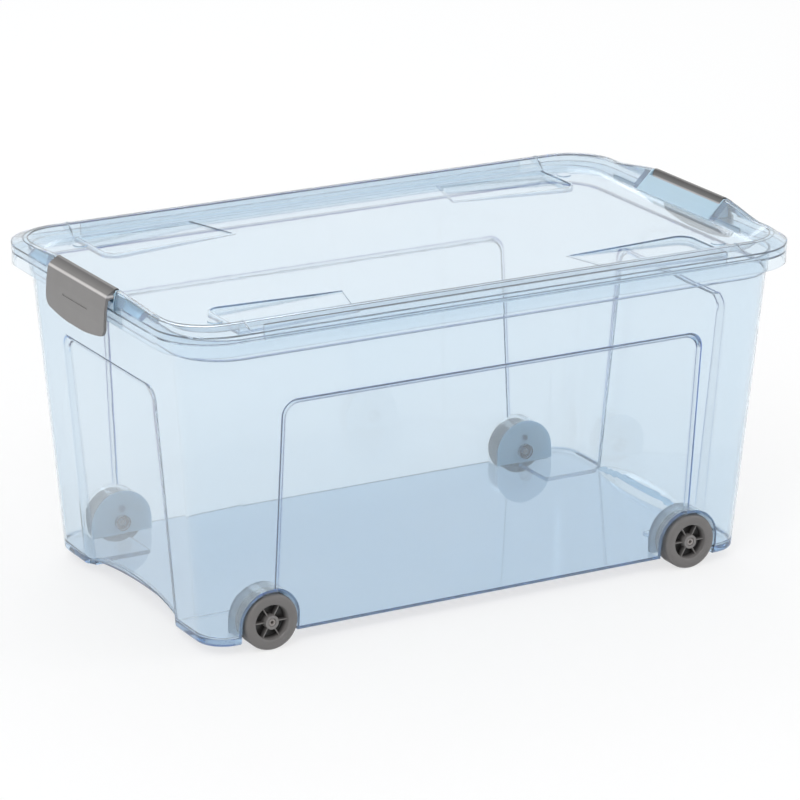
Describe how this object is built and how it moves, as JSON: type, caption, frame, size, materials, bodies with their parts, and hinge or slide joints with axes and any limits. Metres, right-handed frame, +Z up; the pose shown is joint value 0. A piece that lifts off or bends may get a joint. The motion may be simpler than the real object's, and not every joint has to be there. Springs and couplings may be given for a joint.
{
  "type": "under bed storage box",
  "caption": "Long rectangular see-through storage box with tapered walls, a lift-off lid held by a latch at each end, and push-on wheels let into the lower corners.",
  "frame": {"origin": "on the floor under the middle of the box, between the wheels", "axes": "+X along the box towards the right end as seen from its front, +Y from the front long side to the back one, +Z up"},
  "size_m": [0.6266, 0.372, 0.305],
  "materials": {
    "clear_blue_polypropylene": "clear glossy moulding with a blue tint",
    "warm_grey_polypropylene": "satin moulding",
    "dark_grey_polypropylene": "satin moulding",
    "light_grey_acetal": "satin moulding"
  },
  "bodies": {
    "tub": {"tub": "clear_blue_polypropylene", "axle_front_left": "light_grey_acetal", "axle_front_right": "light_grey_acetal", "axle_back_left": "light_grey_acetal", "axle_back_right": "light_grey_acetal"},
    "lid": {"lid": "clear_blue_polypropylene"},
    "latch_left": {"latch_left": "warm_grey_polypropylene"},
    "latch_right": {"latch_right": "warm_grey_polypropylene"},
    "wheel_front_left": {"wheel_front_left": "dark_grey_polypropylene"},
    "wheel_front_right": {"wheel_front_right": "dark_grey_polypropylene"},
    "wheel_back_left": {"wheel_back_left": "dark_grey_polypropylene"},
    "wheel_back_right": {"wheel_back_right": "dark_grey_polypropylene"}
  },
  "joints": [
    {"name": "lid_lift", "type": "slide", "parent": "tub", "child": "lid", "axis": [0, 0, 1], "range_m": [0, 0.065]},
    {"name": "latch_left_hinge", "type": "hinge", "parent": "lid", "child": "latch_left", "pos_m": [-0.3015, 0, 0.2995], "axis": [0, 1, 0], "range_deg": [0, 150]},
    {"name": "latch_right_hinge", "type": "hinge", "parent": "lid", "child": "latch_right", "pos_m": [0.3015, 0, 0.2995], "axis": [0, -1, 0], "range_deg": [0, 150]},
    {"name": "wheel_front_left_spin", "type": "hinge", "parent": "tub", "child": "wheel_front_left", "pos_m": [-0.2085, -0.147, 0.025], "axis": [0, 1, 0], "continuous": true},
    {"name": "wheel_front_right_spin", "type": "hinge", "parent": "tub", "child": "wheel_front_right", "pos_m": [0.2085, -0.147, 0.025], "axis": [0, 1, 0], "continuous": true},
    {"name": "wheel_back_left_spin", "type": "hinge", "parent": "tub", "child": "wheel_back_left", "pos_m": [-0.2085, 0.147, 0.025], "axis": [0, 1, 0], "continuous": true},
    {"name": "wheel_back_right_spin", "type": "hinge", "parent": "tub", "child": "wheel_back_right", "pos_m": [0.2085, 0.147, 0.025], "axis": [0, 1, 0], "continuous": true}
  ],
  "couplings": [
    {"joint": "latch_left_hinge", "follows": "lid_lift", "rad_per_m": 40},
    {"joint": "latch_right_hinge", "follows": "lid_lift", "rad_per_m": 40}
  ]
}
